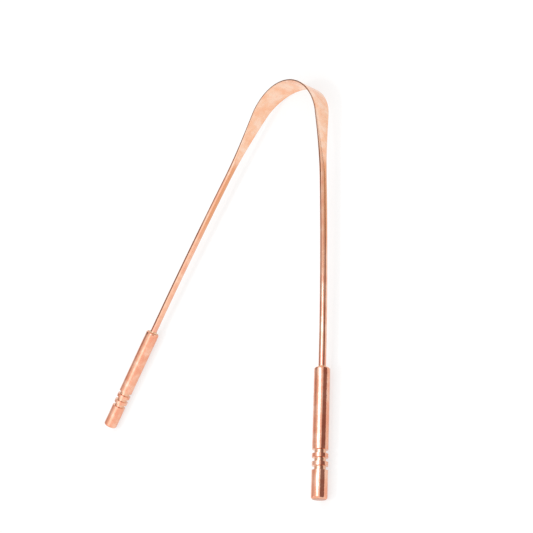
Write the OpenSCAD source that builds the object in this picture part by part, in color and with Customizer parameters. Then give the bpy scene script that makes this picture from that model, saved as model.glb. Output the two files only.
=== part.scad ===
// Tongue scraper: one copper wire, flattened in the middle into a curved blade, with a turned
// handle on each end. Lengths are in millimetres. It lies on a table at z = 0, as it is put down:
// the blade's lower edge and both handles touch the table, the arch points to +Y and the
// handles to -Y, and x = 0 is the mirror plane.

/* [Bow] */
// diameter of the round wire that the bow is made from
wire_d = 2.4; // [1.8:0.05:2.6]
// width of the blade at the top of the arch, where the wire is flattened most
blade_w = 9.2; // [6:0.1:12]
// length along the wire, from the top of the arch, over which the blade narrows to round wire
flare_length = 48; // [42:0.5:60]
// share of the blade's half thickness that the rounding of its edges takes: 1 is half-round
edge_round_share = 0.4; // [0.2:0.05:1]
// radius of the arch, to the middle of the wire
arch_radius = 19.7; // [16:0.1:25]
// how far the arch turns on each side of its top, in degrees
arch_angle = 57; // [50:0.5:62]
// radius of the tighter bend where the arch runs into a leg
bend_radius = 14; // [11:0.5:24]
// how far that bend turns, in degrees
bend_angle = 10.5; // [6:0.5:16]
// length of a leg, from the bend to the mouth of its handle
leg_length = 91.5; // [60:0.5:115]
// radius of the slight inward bow of a leg
leg_bow_radius = 1250; // [900:10:3000]

/* [Handles] */
// diameter of a handle
handle_d = 5; // [4.2:0.1:7]
// length of a handle
handle_length = 40.8; // [35:0.1:60]
// radius of the turned edges at both ends
rim_r = 0.7; // [0.3:0.05:0.9]
// number of grip grooves
groove_count = 3; // [1:1:4]
// distance between the middles of two grooves
groove_pitch = 2.5; // [1.8:0.05:3]
// width of a groove
groove_width = 1.3; // [0.9:0.05:1.6]
// depth of a groove
groove_depth = 0.7; // [0.5:0.05:1.1]
// radius that the tool's corners leave along the two sides of a groove's flat bottom
groove_tip_r = 0.2; // [0.1:0.05:0.4]
// length of the plain barrel from the middle of the last groove to the free end
end_barrel = 9.4; // [7:0.1:14]

/* [Joint of leg and handle] */
// depth of the drilled socket that takes the end of a leg
socket_depth = 12; // [6:0.5:16]
// gap all round the leg in its socket
socket_gap = 0.05; // [0.02:0.01:0.12]
// radius of the hollow fillet of brazing metal between the leg and the end of its handle
braze_fillet_r = 0.45; // [0.2:0.05:0.6]
// thickness of that fillet at its two thin edges
braze_edge = 0.05; // [0.03:0.01:0.1]

/* [Hidden] */
wire_r = wire_d / 2;
wire_area = PI * wire_r * wire_r;
handle_r = handle_d / 2;
socket_r = wire_r + socket_gap;
COPPER = [0.80, 0.48, 0.35];
BRAZE = [0.86, 0.66, 0.36];
// rings of points along one half of the blade and along one leg, and points in a ring, which
// are shared out among its four corners
BLADE_RINGS = 40;
LEG_RINGS = 14;
RING_POINTS = 24;
CIRCLE_POINTS = 96;

// The middle line of the bow is four runs on each side of the arch's top: the arch, the
// tighter bend, the slightly bowed leg, and the straight end in the socket. s is the length
// along it from the top, and a heading is the angle that it has turned by there.
bend_start = PI * arch_radius * arch_angle / 180;
leg_start = bend_start + PI * bend_radius * bend_angle / 180;
mouth_s = leg_start + leg_length;
half_length = mouth_s + socket_depth;
leg_heading = arch_angle + bend_angle;
mouth_heading = leg_heading + 180 * leg_length / (PI * leg_bow_radius);

function heading(s) =
    s < bend_start ? 180 * s / (PI * arch_radius)
    : s < leg_start ? arch_angle + 180 * (s - bend_start) / (PI * bend_radius)
    : s < mouth_s ? leg_heading + 180 * (s - leg_start) / (PI * leg_bow_radius)
    : mouth_heading;
// the way that an arc of radius r leads from one heading to another
function arc_step(r, from, to) = r * [sin(to) - sin(from), cos(to) - cos(from)];
bend_point = arc_step(arch_radius, 0, arch_angle);
leg_point = bend_point + arc_step(bend_radius, arch_angle, leg_heading);
mouth_point = leg_point + arc_step(leg_bow_radius, leg_heading, mouth_heading);
mouth_way = [cos(mouth_heading), -sin(mouth_heading)];
end_point = mouth_point + handle_length * mouth_way;
function middle(s) =
    s < bend_start ? arc_step(arch_radius, 0, heading(s))
    : s < leg_start ? bend_point + arc_step(bend_radius, arch_angle, heading(s))
    : s < mouth_s ? leg_point + arc_step(leg_bow_radius, leg_heading, heading(s))
    : mouth_point + (s - mouth_s) * mouth_way;

// flatness is 1 at the top of the arch and 0 where the wire is still round. The section is
// a strip with rounded corners. They grow as the wire gets rounder, until they meet and
// leave a circle, so each flat face runs out into the leg in a long point. A hammered or
// rolled wire keeps its cross-section's area, so what it gains in width it loses in thickness.
function flatness(s) = s < flare_length ? cos(90 * s / flare_length) : 0;
function blade_width(s) = wire_d + (blade_w - wire_d) * pow(flatness(s), 2);
function round_share(s) = 1 - (1 - edge_round_share) * flatness(s);
function blade_thickness(s) =
    let (w = blade_width(s), corners = (4 - PI) * pow(round_share(s), 2))
    2 * (w - sqrt(w * w - corners * wire_area)) / corners;

// one ring of points round the middle line, on the side of the arch that the sign names
function ring(s, side) =
    let (w = blade_width(s), t = blade_thickness(s), r = round_share(s) * t / 2,
         p = middle(s), a = heading(s))
    [for (k = [0 : RING_POINTS - 1])
        let (turn = 360 * (k + 1 / 2) / RING_POINTS,
             out = r * cos(turn) + sign(cos(turn)) * (t / 2 - r),
             up = r * sin(turn) + sign(sin(turn)) * (w / 2 - r))
        [side * (p.x + out * sin(a)), p.y + out * cos(a), up]];

half_stations = concat(
    [for (i = [1 : BLADE_RINGS]) i * flare_length / BLADE_RINGS],
    [for (i = [1 : LEG_RINGS]) flare_length + i * (mouth_s - flare_length) / LEG_RINGS],
    [half_length]);
last = len(half_stations) - 1;
bow_rings = concat(
    [for (i = [last : -1 : 0]) ring(half_stations[i], -1)],
    [ring(0, 1)],
    [for (i = [0 : last]) ring(half_stations[i], 1)]);

// skin over a row of rings with a flat cap on each end
module skin(rings) {
    n = len(rings[0]);
    far = (len(rings) - 1) * n;
    polyhedron(
        points = [for (r = rings) for (p = r) p],
        faces = concat(
            [[for (k = [0 : n - 1]) k]],
            [for (i = [0 : len(rings) - 2]) for (k = [0 : n - 1])
                let (a = i * n + k, b = i * n + (k + 1) % n)
                each [[a, a + n, b], [b, a + n, b + n]]],
            [[for (k = [n - 1 : -1 : 0]) far + k]]));
}

// The bow is drawn in its own plane, and then tips until blade and handles share the table.
rest_tilt = atan((blade_w - handle_d) / 2 / -end_point.y);
back_y = blade_thickness(0) / 2 * cos(rest_tilt) + blade_w / 2 * sin(rest_tilt);
front_y = (end_point.y + rim_r * (sin(mouth_heading) - 1)
    - (handle_r - rim_r) * cos(mouth_heading)) * cos(rest_tilt);
module on_table() {
    translate([0, -(back_y + front_y) / 2, blade_w / 2 * cos(rest_tilt)])
        rotate([rest_tilt, 0, 0]) children();
}

// puts what is drawn along +Z from a handle's mouth to its free end in place on one side
module at_mouth(side) {
    on_table() translate([side * mouth_point.x, mouth_point.y, 0])
        rotate([90, 0, side * (90 - mouth_heading)]) children();
}

module bow() {
    color(COPPER) on_table() skin(bow_rings);
}

module turned_handle() {
    last_groove = handle_length - end_barrel;
    rotate_extrude($fn = CIRCLE_POINTS) difference() {
        union() {
            square([handle_r - rim_r, handle_length]);
            translate([0, rim_r]) square([handle_r, handle_length - 2 * rim_r]);
            for (z = [rim_r, handle_length - rim_r])
                translate([handle_r - rim_r, z]) circle(rim_r);
        }
        square([socket_r, socket_depth]);
        // each groove has a flat bottom, two small round corners and straight walls
        flat = groove_width - 2 * groove_tip_r;
        for (k = [0 : groove_count - 1])
            translate([handle_r - groove_depth, last_groove - k * groove_pitch]) {
                for (z = [-flat / 2, flat / 2]) translate([groove_tip_r, z]) circle(groove_tip_r);
                translate([0, -flat / 2]) square([groove_depth, flat]);
                translate([groove_tip_r, -groove_width / 2]) square([groove_depth, groove_width]);
            }
    }
}

// Ring of brazing metal that rises from the handle's end to the leg, hollow on its outside.
// It stays on the flat of the handle's end.
module braze_fillet() {
    fillet_r = min(braze_fillet_r, handle_r - rim_r - socket_r - braze_edge);
    reach = fillet_r + braze_edge;
    rotate_extrude($fn = CIRCLE_POINTS) difference() {
        translate([socket_r, -reach]) square(reach);
        translate([socket_r + reach, -reach]) circle(fillet_r);
    }
}

module left_handle() {
    color(COPPER) at_mouth(-1) turned_handle();
}

module right_handle() {
    color(COPPER) at_mouth(1) turned_handle();
}

module left_braze() {
    color(BRAZE) at_mouth(-1) braze_fillet();
}

module right_braze() {
    color(BRAZE) at_mouth(1) braze_fillet();
}

bow();
left_handle();
right_handle();
left_braze();
right_braze();
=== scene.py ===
# %% [markdown]
# # A copper tongue scraper
# The scraper is one copper wire with its middle flattened into a curved blade, and a turned
# copper handle on each end. The CAD model holds every real size, so this lesson starts by
# loading it. Everything made later is in metres in the same frame, with the table at z = 0.

# %% Load the CAD model
import math

import bpy
from mathutils import Matrix, Vector, noise


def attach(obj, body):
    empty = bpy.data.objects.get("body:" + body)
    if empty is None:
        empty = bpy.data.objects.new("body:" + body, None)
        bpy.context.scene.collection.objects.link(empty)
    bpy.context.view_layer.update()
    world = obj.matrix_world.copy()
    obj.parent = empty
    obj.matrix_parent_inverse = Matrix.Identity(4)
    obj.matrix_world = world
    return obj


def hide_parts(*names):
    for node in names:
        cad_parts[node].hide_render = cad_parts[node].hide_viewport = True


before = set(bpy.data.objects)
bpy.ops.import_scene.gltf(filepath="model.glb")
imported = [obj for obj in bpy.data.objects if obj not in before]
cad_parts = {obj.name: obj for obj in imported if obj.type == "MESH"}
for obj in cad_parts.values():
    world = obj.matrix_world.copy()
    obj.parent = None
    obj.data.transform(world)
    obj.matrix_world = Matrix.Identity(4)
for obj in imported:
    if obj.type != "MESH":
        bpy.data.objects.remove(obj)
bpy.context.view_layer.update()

# %% [markdown]
# ## Camera
# The photograph looks down on the scraper from above its right-hand side with a fairly long
# lens, and the scraper lies turned in the frame. A camera can be placed by trial, but a
# position, a direction and a roll that come from matching known edges of the scraper give
# the same perspective at once, so that is what is used here.

# %% Place the camera
MM = 0.001
CAMERA_AT = Vector((308.318, -45.519, 232.320)) * MM
CAMERA_LOOKS = Vector((-0.788369, 0.122864, -0.602809))
CAMERA_UP = Vector((-0.063134, 0.958523, 0.277932))
SENSOR_WIDTH = 36.0
IMAGE_WIDTH_PX = 533
FOCAL_LENGTH_PX = 1104.3
NEAREST_SEEN = 10 * MM

looks = CAMERA_LOOKS.normalized()
right = looks.cross(CAMERA_UP).normalized()
up = right.cross(looks)
camera_data = bpy.data.cameras.new("camera")
camera_data.sensor_width = SENSOR_WIDTH
camera_data.lens = SENSOR_WIDTH * FOCAL_LENGTH_PX / IMAGE_WIDTH_PX
camera_data.clip_start = NEAREST_SEEN
camera = bpy.data.objects.new("camera", camera_data)
camera.matrix_world = Matrix.Translation(CAMERA_AT) @ Matrix(
    (right, up, -looks)).transposed().to_4x4()
bpy.context.scene.collection.objects.link(camera)
bpy.context.scene.camera = camera
print("lens in mm:", round(camera_data.lens, 1))

# %% [markdown]
# ## The bow's path
# On the real bow the wire's middle line is a few plain bends on each side of the top: the
# arch, a tighter bend, and a leg that is almost straight. A curve object could hold that
# line. But the wire's section changes along it, so the same runs, with the same sizes as the
# CAD model, are written here as a function that gives the place and the heading at any
# length along the wire.

# %% Bends of the wire
ARCH_RADIUS = 19.7 * MM
ARCH_ANGLE = math.radians(57)
BEND_RADIUS = 14 * MM
BEND_ANGLE = math.radians(10.5)
LEG_LENGTH = 91.5 * MM
LEG_BOW_RADIUS = 1250 * MM


def arc_step(radius, start, end):
    """Where an arc leads, from one heading to another."""
    return Vector((radius * (math.sin(end) - math.sin(start)),
                   radius * (math.cos(end) - math.cos(start))))


leg_heading = ARCH_ANGLE + BEND_ANGLE
mouth_heading = leg_heading + LEG_LENGTH / LEG_BOW_RADIUS
bend_point = arc_step(ARCH_RADIUS, 0, ARCH_ANGLE)
leg_point = bend_point + arc_step(BEND_RADIUS, ARCH_ANGLE, leg_heading)
mouth_point = leg_point + arc_step(LEG_BOW_RADIUS, leg_heading, mouth_heading)
mouth_way = Vector((math.cos(mouth_heading), -math.sin(mouth_heading)))
print("leg turns, in degrees:", round(math.degrees(mouth_heading - leg_heading), 1))

# %% Place and heading along the wire
bend_start = ARCH_RADIUS * ARCH_ANGLE
leg_start = bend_start + BEND_RADIUS * BEND_ANGLE
mouth_s = leg_start + LEG_LENGTH


def middle(s):
    """Place and heading at the length s along the wire from the top of the arch."""
    if s < bend_start:
        heading = s / ARCH_RADIUS
        return arc_step(ARCH_RADIUS, 0, heading), heading
    if s < leg_start:
        heading = ARCH_ANGLE + (s - bend_start) / BEND_RADIUS
        return bend_point + arc_step(BEND_RADIUS, ARCH_ANGLE, heading), heading
    if s < mouth_s:
        heading = leg_heading + (s - leg_start) / LEG_BOW_RADIUS
        return leg_point + arc_step(LEG_BOW_RADIUS, leg_heading, heading), heading
    return mouth_point + (s - mouth_s) * mouth_way, mouth_heading


print("arch to handle, along the wire, in mm:", round(mouth_s / MM, 1))

# %% [markdown]
# ## The bow's section
# The blade is hammered or rolled from the round wire, and metal can't vanish: where the
# blade is wider it is thinner, so that the area of the section stays the wire's own. The
# section is a strip with flat faces, flat edges and small round corners. The corners grow
# along the wire until they meet and leave a circle. So the flats run out into the leg in
# long points, as they do on the real transition.

# %% Width and thickness of the bow
WIRE_D = 2.4 * MM
WIRE_AREA = math.pi * WIRE_D ** 2 / 4
BLADE_W = 9.2 * MM
FLARE_LENGTH = 48 * MM
EDGE_ROUND_SHARE = 0.4


def flatness(s):
    """How flat the wire is: 1 at the top of the arch, and 0 where it is round again."""
    return math.cos(math.pi / 2 * s / FLARE_LENGTH) if s < FLARE_LENGTH else 0


def round_share(s):
    """The corners' radius as a share of half the thickness; at 1 they meet."""
    return 1 - (1 - EDGE_ROUND_SHARE) * flatness(s)


def blade_width(s):
    return WIRE_D + (BLADE_W - WIRE_D) * flatness(s) ** 2


def blade_thickness(s):
    """The thickness at which the section has the round wire's area."""
    width, corners = blade_width(s), (4 - math.pi) * round_share(s) ** 2
    return 2 * (width - math.sqrt(width ** 2 - corners * WIRE_AREA)) / corners


print("blade thickness in mm:", round(blade_thickness(0) / MM, 3))

# %% [markdown]
# ## Points round the section
# The outline is made as one quarter, and mirroring it gives the rest. Its points are shared
# out half by length and half by how far the outline turns. Equal lengths alone would miss
# the small corners, and equal turns alone would leave the flats empty.

# %% Outline of the section
QUARTER_STEPS = 18


def quarter(s):
    """Points (outward, upward) from the middle of the outer face to that of the upper edge."""
    half_w, half_t = blade_width(s) / 2, blade_thickness(s) / 2
    r = round_share(s) * half_t
    face, corner = half_w - r, math.pi * r / 2
    girth = face + corner + half_t - r
    corner_from = face / girth / 2
    corner_to = (face + corner) / girth / 2 + 0.5
    points = []
    for i in range(QUARTER_STEPS):
        at = (i + 0.5) / QUARTER_STEPS
        if at < corner_from:
            points.append((half_t, at * 2 * girth))
        elif at < corner_to:
            turn = math.pi / 2 * (at - corner_from) / (corner_to - corner_from)
            points.append((half_t - r + r * math.cos(turn), half_w - r + r * math.sin(turn)))
        else:
            points.append(((1 - at) * 2 * girth, half_w))
    return points


def section(s):
    """Points (outward, upward) all round the wire, from the middle of the lower edge."""
    part = quarter(s)
    back = part[::-1]
    return ([(out, -rise) for out, rise in back] + part
            + [(-out, rise) for out, rise in back] + [(-out, -rise) for out, rise in part])


print("points in one ring:", len(section(0)))

# %% [markdown]
# ## Lying on the table
# The blade is wider than the handles are thick. So on a table the bow's own plane tips by
# about a degree, until the blade's lower edge and both handles touch. The path and the
# section are plainest in that plane. So the bow is made there, and one matrix then lays it
# down in the frame, which has its origin under the middle of the whole scraper.

# %% Lay the bow's plane on the table
HANDLE_D = 5 * MM
HANDLE_LENGTH = 40.8 * MM
RIM_R = 0.7 * MM

TILT = math.atan((BLADE_W - HANDLE_D) / 2 / (
    HANDLE_LENGTH * math.sin(mouth_heading) - mouth_point.y))
end_point = mouth_point + HANDLE_LENGTH * mouth_way
back_y = (blade_thickness(0) * math.cos(TILT) + BLADE_W * math.sin(TILT)) / 2
front_y = (end_point.y + RIM_R * (math.sin(mouth_heading) - 1)
           - (HANDLE_D / 2 - RIM_R) * math.cos(mouth_heading)) * math.cos(TILT)
ON_TABLE = Matrix.Translation(
    (0, -(back_y + front_y) / 2, BLADE_W / 2 * math.cos(TILT))) @ Matrix.Rotation(TILT, 4, "X")
print("the bow's plane tips, in degrees:", round(math.degrees(TILT), 2))

# %% [markdown]
# ## Lofting the bow
# A bevelled curve can't change its section from a strip to a circle, so the bow is built as
# rings of points along the path that are skinned with quads. Rings lie close together on the
# blade, where the shape changes, and further apart on the legs. Hammering and rolling leave
# the faces very slightly uneven, a hundredth of a millimetre or so, and because the metal is
# shiny that shows as soft mottling. It is real geometry here, made with a fixed noise.
#
# Every point also keeps its place in the straight wire: how far out and up it lies in the
# section, and how far along. The material draws its polishing lines with that, so that they
# follow the bends.

# %% Rings along the wire
SOCKET_DEPTH = 12 * MM
BLADE_STEP = 0.45 * MM
LEG_STEP = 1.6 * MM


def stations():
    """Lengths along the wire at which the rings lie, from one end to the other."""
    round_length = mouth_s + SOCKET_DEPTH - FLARE_LENGTH
    blade_steps = round(FLARE_LENGTH / BLADE_STEP)
    leg_steps = round(round_length / LEG_STEP)
    half = [FLARE_LENGTH * i / blade_steps for i in range(1, blade_steps + 1)]
    half += [FLARE_LENGTH + round_length * i / leg_steps for i in range(1, leg_steps + 1)]
    return [-s for s in reversed(half)] + [0] + half


print("rings:", len(stations()))

# %% Points and faces of the bow
WAVE_SIZE = 3.2 * MM
WAVE_HEIGHT = 0.015 * MM


def bow_points():
    """The points of every ring, and the place of each in the straight wire."""
    points, in_wire = [], []
    for s in stations():
        side = -1 if s < 0 else 1
        place, heading = middle(abs(s))
        wave = WAVE_HEIGHT * blade_width(abs(s)) / BLADE_W
        for out, rise in section(abs(s)):
            in_wire.append((out, rise, s))
            push = wave * noise.noise(Vector((s / WAVE_SIZE, rise / WAVE_SIZE, out / WIRE_D)))
            out += push * (1 if out > 0 else -1)
            points.append((side * (place.x + out * math.sin(heading)),
                           place.y + out * math.cos(heading), rise))
    return points, in_wire


def bow_faces(rings, count):
    """Quads between neighbouring rings of count points, and a flat face on either end."""
    faces = []
    for i in range(rings - 1):
        for k in range(count):
            a, b = i * count + k, i * count + (k + 1) % count
            faces.append((a, b, b + count, a + count))
    faces.append(tuple(reversed(range(count))))
    faces.append(tuple(range((rings - 1) * count, rings * count)))
    return faces


bow_vertices, straight_places = bow_points()
ring_size = len(section(0))
bow_skin = bow_faces(len(bow_vertices) // ring_size, ring_size)
print("bow:", len(bow_vertices), "points and", len(bow_skin), "faces")

# %% Skin the bow
bow_mesh = bpy.data.meshes.new("copper_bow")
bow_mesh.from_pydata(bow_vertices, [], bow_skin)
bow_mesh.transform(ON_TABLE)
straight_wire = bow_mesh.attributes.new("straight_wire", "FLOAT_VECTOR", "POINT")
for point, place in zip(straight_wire.data, straight_places):
    point.vector = place
bow_mesh.shade_smooth()
copper_bow = bpy.data.objects.new("copper_bow", bow_mesh)
bpy.context.scene.collection.objects.link(copper_bow)
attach(copper_bow, "root")
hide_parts("bow")
print("bow's width in mm:", round(copper_bow.dimensions.x / MM, 1))

# %% [markdown]
# ## Materials from nodes
# Every finish here is a tree of nodes, and all the trees need the same few things: numbers
# mapped to a range, colours blended by a share, and a bump on top of a bump. Each of these
# is a small helper, so that a material below reads like a list of what is on the metal.

# %% Helpers that add and link nodes
def new_tree(name):
    material = bpy.data.materials.new(name)
    material.use_nodes = True
    material.node_tree.nodes.clear()
    return material, material.node_tree


def add(tree, kind, **values):
    """Adds a node. Keywords set its properties, or else its input sockets of that name."""
    node = tree.nodes.new(kind)
    for key, value in values.items():
        if hasattr(node, key):
            setattr(node, key, value)
        else:
            node.inputs[key.replace("_", " ")].default_value = value
    return node


def link(tree, a, output, b, socket):
    tree.links.new(a.outputs[output], b.inputs[socket])


print("node helpers: new_tree, add, link")

# %% Helpers for numbers and colours
def ramp(tree, source, output, stops):
    """A colour ramp fed by a number; stops are (position, colour) pairs."""
    node = add(tree, "ShaderNodeValToRGB")
    elements = node.color_ramp.elements
    while len(elements) < len(stops):
        elements.new(0.5)
    for element, (position, colour) in zip(elements, stops):
        element.position = position
        element.color = (*colour, 1)
    link(tree, source, output, node, "Fac")
    return node


def spread(tree, source, output, low, high, start=0.0, end=1.0):
    """Maps a number between start and end to one between low and high."""
    node = add(tree, "ShaderNodeMapRange", From_Min=start, From_Max=end,
               To_Min=low, To_Max=high)
    link(tree, source, output, node, "Value")
    return node


def blend(tree, share, first, second):
    """The first colour where the share is 0 and the second where it is 1."""
    node = add(tree, "ShaderNodeMix", data_type="RGBA")
    link(tree, share, 0, node, 0)
    # a Mix node has sockets for numbers, vectors and colours; its two colours are 6 and 7
    for socket, colour in ((6, first), (7, second)):
        if isinstance(colour, tuple):
            node.inputs[socket].default_value = (*colour, 1)
        else:
            tree.links.new(colour, node.inputs[socket])
    return node.outputs[2]


def between(tree, share, low, high):
    """The first number where the share is 0 and the second where it is 1."""
    node = add(tree, "ShaderNodeMix", data_type="FLOAT")
    link(tree, share, 0, node, 0)
    tree.links.new(low, node.inputs[2])
    tree.links.new(high, node.inputs[3])
    return node.outputs[0]


print("number and colour helpers: ramp, spread, blend, between")

# %% Helpers for metal
def bare_metal(tree):
    """A shader for metal with nothing on it, joined to the tree's output."""
    out = add(tree, "ShaderNodeOutputMaterial")
    shader = add(tree, "ShaderNodeBsdfPrincipled", Metallic=1.0)
    link(tree, shader, "BSDF", out, "Surface")
    return shader


def raise_surface(tree, source, height, strength=1.0, over=None):
    """A bump of that height where the source's noise is 1, over another bump if given."""
    node = add(tree, "ShaderNodeBump", Strength=strength, Distance=height)
    link(tree, source, "Fac", node, "Height")
    if over:
        link(tree, over, "Normal", node, "Normal")
    return node


def patches_of_tone(tree, place, output, per_metre):
    """Slow, uneven noise, for what fingers and air have done to the metal."""
    patches = add(tree, "ShaderNodeTexNoise", Scale=per_metre, Detail=4.0, Roughness=0.6)
    link(tree, place, output, patches, "Vector")
    return patches


def dress(names, material):
    """Gives CAD nodes a material. Their meshes stay as they are."""
    for name in names:
        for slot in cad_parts[name].material_slots:
            slot.material = material


print("metal helpers: bare_metal, raise_surface, patches_of_tone, dress")

# %% [markdown]
# ## Copper of the bow
# Polished copper is a metal whose own colour tints every reflection, so its colour goes into
# Base Color with Metallic at 1. What makes it look real is small: fine polishing lines, a
# slow change from rosy to orange where fingers and air have been, and uneven gloss. The
# blade is paler and less glossy than the legs, the heat of brazing has reddened the wire at
# its ends, and a narrow darker strip runs down from the blade on the side of each leg that
# faces +X. That strip is a painted reflection of shade.
#
# A picture of real copper could be wrapped round the bow. Nodes stay sharp however near the
# camera comes, and they can follow the wire and its ends, so the finish is made of nodes.

# %% Lines and tones of the bow
ROSY, ORANGE, PALE = (0.86, 0.425, 0.285), (0.90, 0.495, 0.335), (0.93, 0.59, 0.435)
LEG_TONES = ((0.36, ROSY), (0.5, ORANGE), (0.64, PALE))
BLADE_ROSY, BLADE_ORANGE = (0.93, 0.515, 0.33), (0.94, 0.585, 0.405)
BLADE_PALE = (0.95, 0.67, 0.515)
BLADE_TONES = ((0.38, BLADE_ROSY), (0.5, BLADE_ORANGE), (0.62, BLADE_PALE))
HEAT_TINT, HEAT_SHARE = (0.86, 0.38, 0.27), 0.8
# distances from the handle's mouth at which the heat tint starts and is full
HEAT_STARTS, HEAT_FULL = 6 * MM, 0.5 * MM
# lines per metre across the wire, twice, and along it
LINES_PER_METRE = (9000, 9000, 260)


def polishing_lines(tree, straight):
    """Noise that is fine across the straight wire and long along it."""
    squeezed = add(tree, "ShaderNodeMapping", Scale=LINES_PER_METRE)
    link(tree, straight, "Vector", squeezed, "Vector")
    lines = add(tree, "ShaderNodeTexNoise", Scale=1.0, Detail=4.0, Roughness=0.6)
    link(tree, squeezed, "Vector", lines, "Vector")
    return lines


def bow_tone(tree, patches, blade, from_top):
    """Patches of copper tones on legs and blade, and the heat tint at the wire's ends."""
    legs = ramp(tree, patches, "Fac", LEG_TONES)
    face = ramp(tree, patches, "Fac", BLADE_TONES)
    heated = spread(tree, from_top, "Value", 0, HEAT_SHARE,
                    mouth_s - HEAT_STARTS, mouth_s - HEAT_FULL)
    tone = blend(tree, blade, legs.outputs["Color"], face.outputs["Color"])
    return blend(tree, heated, tone, HEAT_TINT)


print("tones on the bow:", len(LEG_TONES + BLADE_TONES))

# %% Painted reflection of shade on the legs
# painted shade: a darker strip that stands for a reflection of shade on each leg
PAINTED_SHADE_STRIP = (0.78, 0.37, 0.20)
SHADE_STRIP_FROM, SHADE_STRIP_TO = 38 * MM, 78 * MM
RUN_IN, RUN_OUT = 4 * MM, 12 * MM
# distances from the middle of the wire at which the strip starts and is full
STRIP_STARTS, STRIP_FULL = 0.85 * MM, 1.05 * MM


def painted_shade_strip_share(tree, in_wire, from_top):
    """1 in the painted shade strip on the side of each leg that faces +X, run in and out along
    the leg.
    """
    leg_sign = add(tree, "ShaderNodeMath", operation="SIGN")
    link(tree, in_wire, "Z", leg_sign, 0)
    towards_x = add(tree, "ShaderNodeMath", operation="MULTIPLY")
    link(tree, in_wire, "X", towards_x, 0)
    link(tree, leg_sign, "Value", towards_x, 1)
    share = spread(tree, towards_x, "Value", 0, 1, STRIP_STARTS, STRIP_FULL)
    start = spread(tree, from_top, "Value", 0, 1, SHADE_STRIP_FROM, SHADE_STRIP_FROM + RUN_IN)
    end = spread(tree, from_top, "Value", 1, 0, SHADE_STRIP_TO - RUN_OUT, SHADE_STRIP_TO)
    for limit in (start, end):
        limited = add(tree, "ShaderNodeMath", operation="MULTIPLY")
        link(tree, share, 0, limited, 0)
        link(tree, limit, "Result", limited, 1)
        share = limited
    return share


# the length of the painted shade strip along each leg
print("tarnish on each leg, in mm:", round((SHADE_STRIP_TO - SHADE_STRIP_FROM) / MM))

# %% Copper polished along the wire
# distances from the top of the arch at which the blade's finish ends and the leg's is full
BLADE_FINISH_ENDS, LEG_FINISH_FULL = 36 * MM, 50 * MM
BOW_PATCHES_PER_METRE = 230.0
LEG_ROUGHNESS, BLADE_ROUGHNESS = (0.07, 0.15), (0.12, 0.28)
LEG_LINE_STRENGTH, BLADE_LINE_STRENGTH = 0.12, 0.4
LINE_HEIGHT = 0.02 * MM
BOW_UNEVENNESS = 0.012 * MM


def bow_material():
    material, tree = new_tree("copper_polished_along_the_wire")
    shader = bare_metal(tree)
    straight = add(tree, "ShaderNodeAttribute", attribute_name="straight_wire")
    lines = polishing_lines(tree, straight)
    patches = patches_of_tone(tree, add(tree, "ShaderNodeTexCoord"), "Object",
                              BOW_PATCHES_PER_METRE)
    in_wire = add(tree, "ShaderNodeSeparateXYZ")
    link(tree, straight, "Vector", in_wire, "Vector")
    from_top = add(tree, "ShaderNodeMath", operation="ABSOLUTE")
    link(tree, in_wire, "Z", from_top, 0)
    blade = spread(tree, from_top, "Value", 1, 0, BLADE_FINISH_ENDS, LEG_FINISH_FULL)
    tone = bow_tone(tree, patches, blade, from_top)
    # the painted reflection of shade is laid over the copper tones
    tone = blend(tree, painted_shade_strip_share(tree, in_wire, from_top), tone, PAINTED_SHADE_STRIP)
    tree.links.new(tone, shader.inputs["Base Color"])
    leg_gloss = spread(tree, lines, "Fac", *LEG_ROUGHNESS)
    blade_gloss = spread(tree, lines, "Fac", *BLADE_ROUGHNESS)
    gloss = between(tree, blade, leg_gloss.outputs[0], blade_gloss.outputs[0])
    tree.links.new(gloss, shader.inputs["Roughness"])
    uneven = raise_surface(tree, patches, BOW_UNEVENNESS)
    grooved = raise_surface(tree, lines, LINE_HEIGHT, over=uneven)
    depth = spread(tree, blade, "Result", LEG_LINE_STRENGTH, BLADE_LINE_STRENGTH)
    link(tree, depth, "Result", grooved, "Strength")
    link(tree, grooved, "Normal", shader, "Normal")
    return material


copper_bow.data.materials.append(bow_material())
print("bow:", len(copper_bow.data.materials[0].node_tree.nodes), "nodes in its material")

# %% [markdown]
# ## The handles
# Each handle is turned from copper rod on a lathe: a plain barrel with rounded ends and three
# grooves for the grip. The CAD model's shapes are exact here, so only their finish is added.
# A lathe leaves rings, so the marks run round the handle and, on its flat ends, in circles.
# Adding the distance from the axis to the length along it gives both with one noise. The
# end faces are cut and never polished, so they are dull, and their darker colour is painted
# shade. The grooves are painted a little paler than the barrel, as painted light.
#
# The marks need the handle's own frame. One material serves both handles, because folding
# the left one over to the right with an absolute value makes their frames the same.

# %% The handle's own frame
handle_way = ON_TABLE.to_3x3() @ Vector((mouth_way.x, mouth_way.y, 0))
handle_from = ON_TABLE @ Vector((mouth_point.x, mouth_point.y, 0))
across_way = ON_TABLE.to_3x3() @ Vector((-mouth_way.y, mouth_way.x, 0))
table_way = handle_way.cross(across_way)


def handle_place(tree):
    """Place in the handle's own frame: across, up and along its axis, alike on both."""
    here = add(tree, "ShaderNodeTexCoord")
    mirrored = add(tree, "ShaderNodeSeparateXYZ")
    link(tree, here, "Object", mirrored, "Vector")
    outward = add(tree, "ShaderNodeMath", operation="ABSOLUTE")
    link(tree, mirrored, "X", outward, 0)
    joined = add(tree, "ShaderNodeCombineXYZ")
    link(tree, outward, "Value", joined, "X")
    link(tree, mirrored, "Y", joined, "Y")
    link(tree, mirrored, "Z", joined, "Z")
    turned = add(tree, "ShaderNodeMapping", vector_type="TEXTURE")
    turned.inputs["Location"].default_value = handle_from
    turned.inputs["Rotation"].default_value = Matrix(
        (across_way, table_way, handle_way)).transposed().to_euler()
    link(tree, joined, "Vector", turned, "Vector")
    return turned


print("right handle starts at, in mm:", [round(c / MM, 1) for c in handle_from])

# %% Rings of the lathe
RINGS_PER_METRE = 9000.0
RING_WAVERS_PER_METRE = 180.0


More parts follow.
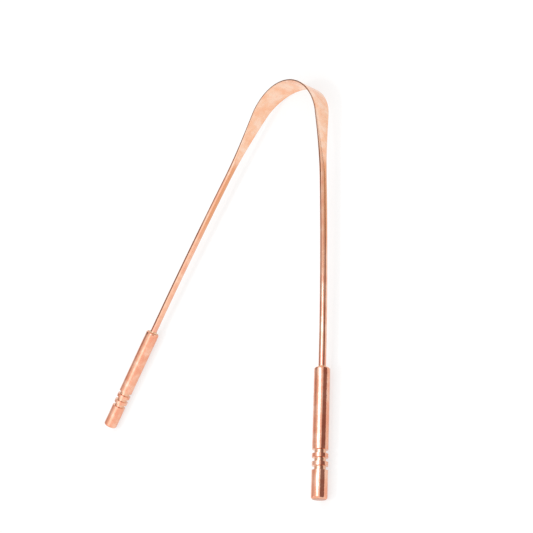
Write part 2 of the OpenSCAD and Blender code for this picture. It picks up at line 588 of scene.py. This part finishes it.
def lathe_rings(tree, flat, outline):
    """Noise that is fine along the handle's outline, and slow in the place across it."""
    across = add(tree, "ShaderNodeVectorMath", operation="SCALE", Scale=RING_WAVERS_PER_METRE)
    link(tree, flat, "Vector", across, 0)
    step = add(tree, "ShaderNodeCombineXYZ")
    link(tree, outline, "Value", step, "Z")
    fine = add(tree, "ShaderNodeVectorMath", operation="SCALE", Scale=RINGS_PER_METRE)
    link(tree, step, "Vector", fine, 0)
    stretched = add(tree, "ShaderNodeVectorMath", operation="ADD")
    link(tree, across, "Vector", stretched, 0)
    link(tree, fine, "Vector", stretched, 1)
    rings = add(tree, "ShaderNodeTexNoise", Scale=1.0, Detail=3.0, Roughness=0.5)
    link(tree, stretched, "Vector", rings, "Vector")
    return rings


print("one ring of the lathe, in mm:", round(1 / RINGS_PER_METRE / MM, 2))

# %% Tones and end faces of the handles
TURNED_ROSY, TURNED_ORANGE = (0.87, 0.375, 0.24), (0.90, 0.445, 0.295)
TURNED_PALE = (0.935, 0.55, 0.40)
TURNED_TONES = ((0.38, TURNED_ROSY), (0.5, TURNED_ORANGE), (0.62, TURNED_PALE))
# the end faces' dark colour is painted shade, and the grooves' paler colour is painted light
END_FACE_PAINTED_SHADE, GROOVE_PAINTED_LIGHT = (0.60, 0.25, 0.15), (0.84, 0.49, 0.33)
# distances from the axis at which a groove's tone is full and ends
GROOVE_FULL, GROOVE_ENDS = 1.9 * MM, 2.35 * MM
# distances from the end of the handle at which the end face's finish starts and is full
END_FACE_STARTS, END_FACE_FULL = 0.15 * MM, 0.03 * MM


def end_face_share(tree, in_handle):
    """1 on the flat face at either end of the handle, and 0 between them."""
    from_middle = add(tree, "ShaderNodeMath", operation="SUBTRACT")
    link(tree, in_handle, "Z", from_middle, 0)
    from_middle.inputs[1].default_value = HANDLE_LENGTH / 2
    towards_end = add(tree, "ShaderNodeMath", operation="ABSOLUTE")
    link(tree, from_middle, "Value", towards_end, 0)
    return spread(tree, towards_end, "Value", 0, 1,
                  HANDLE_LENGTH / 2 - END_FACE_STARTS, HANDLE_LENGTH / 2 - END_FACE_FULL)


def handle_tone(tree, patches, radius, end_face):
    """Patches of copper tones, with painted light in the grooves and painted shade on the end
    faces.
    """
    tone = ramp(tree, patches, "Fac", TURNED_TONES)
    # only a groove lies this near to the axis away from the ends
    deep = spread(tree, radius, "Value", 1, 0, GROOVE_FULL, GROOVE_ENDS)
    # painted light in the grooves, then painted shade on the end faces
    colour = blend(tree, deep, tone.outputs["Color"], GROOVE_PAINTED_LIGHT)
    return blend(tree, end_face, colour, END_FACE_PAINTED_SHADE)


print("tones on a handle:", len(TURNED_TONES) + 2)

# %% Turned copper of the handles
HANDLE_PATCHES_PER_METRE = 260.0
BARREL_ROUGHNESS, END_FACE_ROUGHNESS = (0.1, 0.22), (0.24, 0.38)
RING_HEIGHT, RING_STRENGTH = 0.01 * MM, 0.25
HANDLE_UNEVENNESS = 0.06 * MM


def handle_material():
    material, tree = new_tree("copper_turned_and_polished")
    shader = bare_metal(tree)
    place = handle_place(tree)
    in_handle = add(tree, "ShaderNodeSeparateXYZ")
    link(tree, place, "Vector", in_handle, "Vector")
    flat = add(tree, "ShaderNodeVectorMath", operation="MULTIPLY")
    link(tree, place, "Vector", flat, 0)
    flat.inputs[1].default_value = (1, 1, 0)
    radius = add(tree, "ShaderNodeVectorMath", operation="LENGTH")
    link(tree, flat, "Vector", radius, 0)
    outline = add(tree, "ShaderNodeMath", operation="ADD")
    link(tree, in_handle, "Z", outline, 0)
    link(tree, radius, "Value", outline, 1)
    rings = lathe_rings(tree, flat, outline)
    patches = patches_of_tone(tree, place, "Vector", HANDLE_PATCHES_PER_METRE)
    end_face = end_face_share(tree, in_handle)
    tree.links.new(handle_tone(tree, patches, radius, end_face), shader.inputs["Base Color"])
    polished = spread(tree, patches, "Fac", *BARREL_ROUGHNESS)
    cut = spread(tree, rings, "Fac", *END_FACE_ROUGHNESS)
    gloss = between(tree, end_face, polished.outputs[0], cut.outputs[0])
    tree.links.new(gloss, shader.inputs["Roughness"])
    uneven = raise_surface(tree, patches, HANDLE_UNEVENNESS)
    ringed = raise_surface(tree, rings, RING_HEIGHT, RING_STRENGTH, over=uneven)
    link(tree, ringed, "Normal", shader, "Normal")
    return material


turned_copper = handle_material()
dress(("left_handle", "right_handle"), turned_copper)
print("handles:", len(turned_copper.node_tree.nodes), "nodes in their material")

# %% [markdown]
# ## The brazing metal
# The ring of brazing metal at each handle's mouth flowed in molten and was brushed over, so
# it is a little more golden than the copper, and its surface is grainy and not lined. Its
# colour, gloss and bumps could each have a noise of their own. On a real ring the same grains
# give all three, so one noise draws them here.

# %% Brazing metal
BRAZE_TONES = ((0.35, (0.80, 0.50, 0.29)), (0.65, (0.92, 0.68, 0.47)))
BRAZE_ROUGHNESS = (0.22, 0.38)
GRAINS_PER_METRE = 2600.0
GRAIN_HEIGHT, GRAIN_STRENGTH = 0.03 * MM, 0.5


def brazing_material():
    material, tree = new_tree("brazing_metal_brushed_over")
    shader = bare_metal(tree)
    grains = add(tree, "ShaderNodeTexNoise", Scale=GRAINS_PER_METRE, Detail=3.0, Roughness=0.6)
    link(tree, add(tree, "ShaderNodeTexCoord"), "Object", grains, "Vector")
    link(tree, ramp(tree, grains, "Fac", BRAZE_TONES), "Color", shader, "Base Color")
    gloss = spread(tree, grains, "Fac", *BRAZE_ROUGHNESS)
    link(tree, gloss, "Result", shader, "Roughness")
    grained = raise_surface(tree, grains, GRAIN_HEIGHT, GRAIN_STRENGTH)
    link(tree, grained, "Normal", shader, "Normal")
    return material


braze_metal = brazing_material()
dress(("left_braze", "right_braze"), braze_metal)
print("brazing metal:", len(braze_metal.node_tree.nodes), "nodes in its material")

# %% [markdown]
# ## Floor
# The scraper lies on white paper. Its white comes from an emission that only the camera and
# the metal's reflections see, and never from more light on the scraper. The diffuse part
# under it takes the shadows. The blade's faces stand upright and mirror much of this paper,
# which helps them to look as pale and even as they do. A sheet that curves up behind could
# hide where the floor ends, but this camera looks down, so one large square is enough.

# %% White paper
PAPER, PAPER_GLOW = (0.36, 0.367, 0.37), 0.67


def paper_material():
    material, tree = new_tree("white_paper")
    out = add(tree, "ShaderNodeOutputMaterial")
    diffuse = add(tree, "ShaderNodeBsdfDiffuse", Color=(*PAPER, 1))
    glow = add(tree, "ShaderNodeEmission")
    rays = add(tree, "ShaderNodeLightPath")
    seen_or_mirrored = add(tree, "ShaderNodeMath", operation="MAXIMUM")
    link(tree, rays, "Is Camera Ray", seen_or_mirrored, 0)
    link(tree, rays, "Is Glossy Ray", seen_or_mirrored, 1)
    looked_at = add(tree, "ShaderNodeMath", operation="MAXIMUM")
    link(tree, seen_or_mirrored, "Value", looked_at, 0)
    link(tree, rays, "Is Transmission Ray", looked_at, 1)
    strength = spread(tree, looked_at, "Value", 0, PAPER_GLOW)
    link(tree, strength, "Result", glow, "Strength")
    both = add(tree, "ShaderNodeAddShader")
    link(tree, diffuse, "BSDF", both, 0)
    link(tree, glow, "Emission", both, 1)
    link(tree, both, "Shader", out, "Surface")
    return material


paper = paper_material()
print("paper:", len(paper.node_tree.nodes), "nodes in its material")

# %% Floor
HALF_FLOOR = 20.0
floor_mesh = bpy.data.meshes.new("floor")
floor_mesh.from_pydata([(-HALF_FLOOR, -HALF_FLOOR, 0), (HALF_FLOOR, -HALF_FLOOR, 0),
                        (HALF_FLOOR, HALF_FLOOR, 0), (-HALF_FLOOR, HALF_FLOOR, 0)], [],
                       [(0, 1, 2, 3)])
floor = bpy.data.objects.new("floor", floor_mesh)
bpy.context.scene.collection.objects.link(floor)
floor_mesh.materials.append(paper)
print("floor: a square of", 2 * HALF_FLOOR, "m")

# %% [markdown]
# ## Studio
# A shiny thing is lit by what it mirrors. A white tent all round would leave the copper flat,
# so cards hang in it, each a soft-edged disc of one colour. They could be planes round the
# scraper, but a plane needs a place, a size and a turn, and in the world a card needs little
# more than its direction. The tent is white at a strength of 1 and most cards are darker.
# Only the two in front are brighter, the wide one by less than a tenth and the small one by
# about a third.

# %% The tent and its cards
world = bpy.data.worlds.new("studio")
bpy.context.scene.world = world
world.use_nodes = True
sky = world.node_tree
sky.nodes.clear()
sky_out = add(sky, "ShaderNodeOutputWorld")
tent = add(sky, "ShaderNodeBackground", Strength=1.0)
link(sky, tent, "Background", sky_out, "Surface")
sky_way = add(sky, "ShaderNodeTexCoord")

TENT = (1.0, 1.0, 1.0)
# azimuth from +X towards +Y and height above the table, then the half angles out to which
# the card is even and at which it is gone, all in degrees, and its colour
CARDS = {
    "pale card in front at the right": (-42, 15, 14, 42, (1.08, 1.05, 1.04)),
    "light high in front at the right": (-41, 65, 3, 17, (1.32, 1.34, 1.36)),
    "half-dark card high beyond the arch": (70, 48, 6, 26, (0.78, 0.69, 0.62)),
    "dark card low at the right": (24, -3, 12, 44, (0.27, 0.19, 0.185)),
    "grey card at the left": (-178, 37, 18, 38, (0.72, 0.65, 0.63)),
    "dark card at the left, towards the arch": (160, 32, 12, 22, (0.15, 0.085, 0.075)),
}


def hang_card(behind, azimuth, elevation, inner, outer, colour):
    """A disc of colour in one direction, in front of what hangs there already."""
    a, e = math.radians(azimuth), math.radians(elevation)
    dot = add(sky, "ShaderNodeVectorMath", operation="DOT_PRODUCT")
    link(sky, sky_way, "Generated", dot, 0)
    dot.inputs[1].default_value = (
        math.cos(e) * math.cos(a), math.cos(e) * math.sin(a), math.sin(e))
    edge = add(sky, "ShaderNodeMapRange", interpolation_type="SMOOTHSTEP",
               From_Min=math.cos(math.radians(outer)), From_Max=math.cos(math.radians(inner)))
    link(sky, dot, "Value", edge, "Value")
    return blend(sky, edge, behind, colour)


sky_colour = TENT
for card in CARDS.values():
    sky_colour = hang_card(sky_colour, *card)
sky.links.new(sky_colour, tent.inputs["Color"])
print("cards in the tent:", ", ".join(CARDS))

# %% [markdown]
# ## Near cards and lamps
# A card in the world is infinitely far, so it draws its stripe along all of a straight wire.
# Some reflections in the photograph stop part of the way, as those of near things do, so a
# softbox over each side and a dark card over the left leg stand at real distances. So does
# the dark card beside the right handle. It draws the brown stripe there, and the white
# paper in front of its foot draws the pale rim beyond that stripe. The key lamp is far away
# and lights only the paper, where it gives the scraper a soft shadow.

# %% Cards near the scraper
OVER_LEG_Z = 60 * MM
OVER_LEG_CORNERS = ((-108, -35), (-66, -35), (-56, 17), (-91, 17))
OVER_LEG_COLOUR = (0.17, 0.14, 0.14)
# the card beside the handle stands on the table along the leg and the handle: its distance
# from their middle line, its reach up and down from the mouth, and its height at either end
BESIDE = 8 * MM
UP_THE_LEG, DOWN_THE_HANDLE = 88 * MM, 46 * MM
HEIGHT_AT_LEG, HEIGHT_AT_HANDLE = 1.5 * MM, 9.2 * MM
BESIDE_COLOUR = (0.27, 0.18, 0.165)


def near_card(name, corners, colour):
    """A card near the scraper that only the metal's reflections see."""
    mesh = bpy.data.meshes.new(name)
    mesh.from_pydata(corners, [], [range(len(corners))])
    thing = bpy.data.objects.new(name, mesh)
    bpy.context.scene.collection.objects.link(thing)
    material, tree = new_tree(name)
    glow = add(tree, "ShaderNodeEmission", Color=(*colour, 1), Strength=1.0)
    link(tree, glow, "Emission", add(tree, "ShaderNodeOutputMaterial"), "Surface")
    mesh.materials.append(material)
    thing.visible_camera = thing.visible_diffuse = thing.visible_shadow = False


near_card("card over the left leg",
          [(x * MM, y * MM, OVER_LEG_Z) for x, y in OVER_LEG_CORNERS], OVER_LEG_COLOUR)
beside_mouth = handle_from + BESIDE * across_way
at_leg = beside_mouth - UP_THE_LEG * handle_way
at_handle = beside_mouth + DOWN_THE_HANDLE * handle_way
near_card("card beside the right handle",
          ((at_leg.x, at_leg.y, 0), (at_handle.x, at_handle.y, 0),
           (at_handle.x, at_handle.y, HEIGHT_AT_HANDLE),
           (at_leg.x, at_leg.y, HEIGHT_AT_LEG)), BESIDE_COLOUR)
print("card beside the handle, in mm:", round((at_handle - at_leg).length / MM))

# %% Softboxes and the key lamp
COOL, COOLER, WHITE = (0.92, 1.0, 1.3), (0.92, 1.0, 1.4), (1, 1, 1)


def round_lamp(name, at, looks_at, diameter, watts, colour, mirrored):
    """A round lamp, placed in mm. Either the metal mirrors it, or it lights the paper."""
    data = bpy.data.lights.new(name, "AREA")
    data.shape = "DISK"
    data.size = diameter * MM
    data.energy = watts
    data.color = colour
    lamp = bpy.data.objects.new(name, data)
    lamp.location = Vector(at) * MM
    lamp.rotation_euler = (Vector(looks_at) - Vector(at)).to_track_quat("-Z", "Y").to_euler()
    lamp.visible_camera = False
    lamp.visible_diffuse = not mirrored
    lamp.visible_glossy = mirrored
    bpy.context.scene.collection.objects.link(lamp)


round_lamp("softbox", (106, 32, 240), (54, -44, 0), 160, 0.130, COOLER, mirrored=True)
round_lamp("second softbox", (-18, -110, 106), (-57, -53, 0), 90, 0.009, COOL, mirrored=True)
round_lamp("key", (-1600, -920, 2640), (0, 0, 0), 400, 15, WHITE, mirrored=False)

scene = bpy.context.scene
scene.view_settings.view_transform = "Standard"
